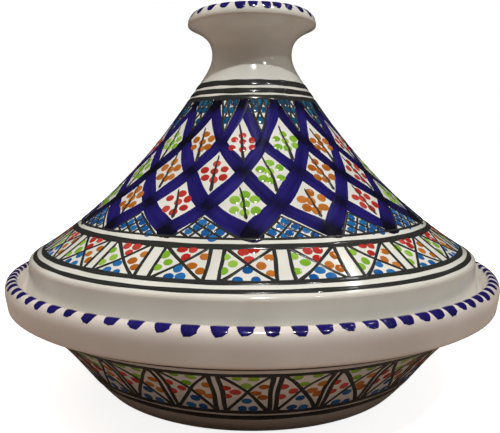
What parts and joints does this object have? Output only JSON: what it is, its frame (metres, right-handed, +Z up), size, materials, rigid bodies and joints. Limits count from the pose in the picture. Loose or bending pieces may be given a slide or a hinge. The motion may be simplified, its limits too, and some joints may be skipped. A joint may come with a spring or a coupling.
{
  "type": "tagine pot",
  "caption": "Glazed clay tagine: a flared dish with a wide collar and a tall cone lid with a cupped knob that lifts off the ledge inside the collar.",
  "frame": {"origin": "centre of the dish's foot ring, on the surface that it stands on", "axes": "+Z up along the axis that the dish and the lid were turned about, -Y towards the front"},
  "size_m": [0.31, 0.31, 0.2327],
  "materials": {
    "dish_glaze": "cream tin glaze over buff clay, with painted bands",
    "lid_glaze": "cream tin glaze over buff clay, with painted bands"
  },
  "bodies": {
    "dish_body": {"dish": "dish_glaze"},
    "lid_body": {"lid": "lid_glaze"}
  },
  "joints": [
    {"name": "lid_lift", "type": "slide", "parent": "dish_body", "child": "lid_body", "axis": [0, 0, 1], "range_m": [0, 0.22]}
  ]
}
